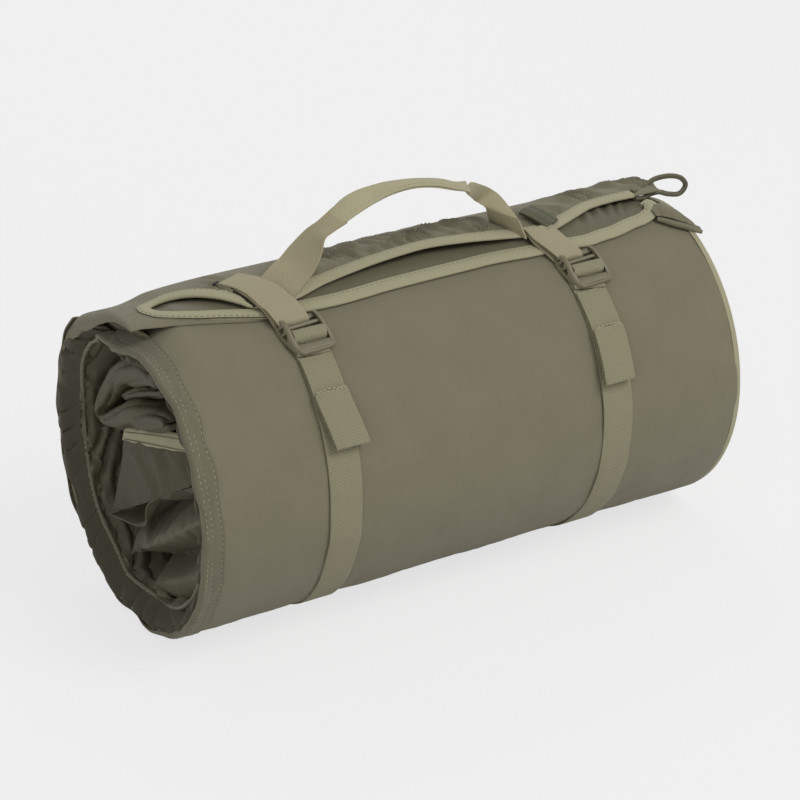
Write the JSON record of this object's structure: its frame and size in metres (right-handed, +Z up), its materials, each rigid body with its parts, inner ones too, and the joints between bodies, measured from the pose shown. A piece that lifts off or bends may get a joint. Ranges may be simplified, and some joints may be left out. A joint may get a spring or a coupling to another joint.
{
  "type": "rolled sleeping mat",
  "caption": "Padded sleeping mat folded lengthwise and rolled up, held by webbing straps with ladder buckles, with a carry handle between them.",
  "frame": {"origin": "under the middle of the roll, on the surface that it rests on", "axes": "+X along the roll from its open folded end to its bound end, +Z up, -Y to the viewer"},
  "size_m": [0.4808, 0.2411, 0.3011],
  "materials": {
    "shell_fabric": "matt woven nylon",
    "lining_fabric": "smooth coated nylon",
    "foam": "closed cell foam",
    "edge_tape": "folded edge tape",
    "webbing": "flat woven webbing",
    "handle_webbing": "flat woven webbing",
    "buckle_plastic": "satin moulded",
    "thread": "sewing thread",
    "elastic_cord": "braided",
    "label_fabric": "woven"
  },
  "bodies": {
    "mat": {"corner_flap": "shell_fabric", "elastic_loop": "elastic_cord", "end_fold_gusset": "lining_fabric", "fold_gusset": "lining_fabric", "gathered_folds": "lining_fabric", "inner_half_edge_piping": "shell_fabric", "inner_half_end_hem": "lining_fabric", "inner_half_end_tape": "edge_tape", "inner_half_foam": "foam", "inner_half_lining": "lining_fabric", "inner_half_right_tape": "edge_tape", "inner_half_shell": "shell_fabric", "left_buckle_loop": "webbing", "left_edge_facing": "shell_fabric", "left_strap": "webbing", "outer_half_end_hem": "shell_fabric", "outer_half_end_tape": "edge_tape", "outer_half_foam": "foam", "outer_half_lining": "lining_fabric", "outer_half_right_tape": "edge_tape", "outer_half_shell": "shell_fabric", "pocket_panel": "shell_fabric", "pocket_tape": "edge_tape", "right_buckle_loop": "webbing", "right_strap": "webbing", "rolled_gusset": "lining_fabric"},
    "handle": {"handle_left_neck": "handle_webbing", "handle_grip": "handle_webbing", "handle_right_neck": "handle_webbing"},
    "left_buckle": {"left_buckle": "buckle_plastic", "left_threaded_web": "webbing"},
    "left_tail": {"left_tail": "webbing", "left_tail_pull": "webbing", "left_tail_stitching": "thread"},
    "right_buckle": {"right_buckle": "buckle_plastic", "right_threaded_web": "webbing"},
    "right_tail": {"right_tail": "webbing", "right_tail_pull": "webbing", "right_tail_stitching": "thread"},
    "label_tab": {"label_tab": "label_fabric"}
  },
  "joints": [
    {"name": "handle_swing", "type": "hinge", "parent": "mat", "child": "handle", "pos_m": [0, -0.0243, 0.2491], "axis": [1, 0, 0], "range_deg": [-71, 75], "deforming": ["handle_left_neck", "handle_right_neck"]},
    {"name": "label_flip", "type": "hinge", "parent": "mat", "child": "label_tab", "pos_m": [0.103, -0.0139, 0.2506], "axis": [0, -0.9945, -0.1045], "range_deg": [0, 110]},
    {"name": "left_buckle_tilt", "type": "hinge", "parent": "mat", "child": "left_buckle", "pos_m": [-0.1145, -0.04899, 0.23085], "axis": [1, 0, 0], "range_deg": [-25, 0], "deforming": ["left_threaded_web"]},
    {"name": "left_tail_swing", "type": "hinge", "parent": "left_buckle", "child": "left_tail", "pos_m": [-0.1145, -0.0757, 0.21227], "axis": [1, 0, 0], "range_deg": [-100, 0]},
    {"name": "right_buckle_tilt", "type": "hinge", "parent": "mat", "child": "right_buckle", "pos_m": [0.1125, -0.05398, 0.22839], "axis": [1, 0, 0], "range_deg": [-25, 0], "deforming": ["right_threaded_web"]},
    {"name": "right_tail_swing", "type": "hinge", "parent": "right_buckle", "child": "right_tail", "pos_m": [0.1125, -0.07955, 0.20841], "axis": [1, 0, 0], "range_deg": [-100, 0]}
  ]
}
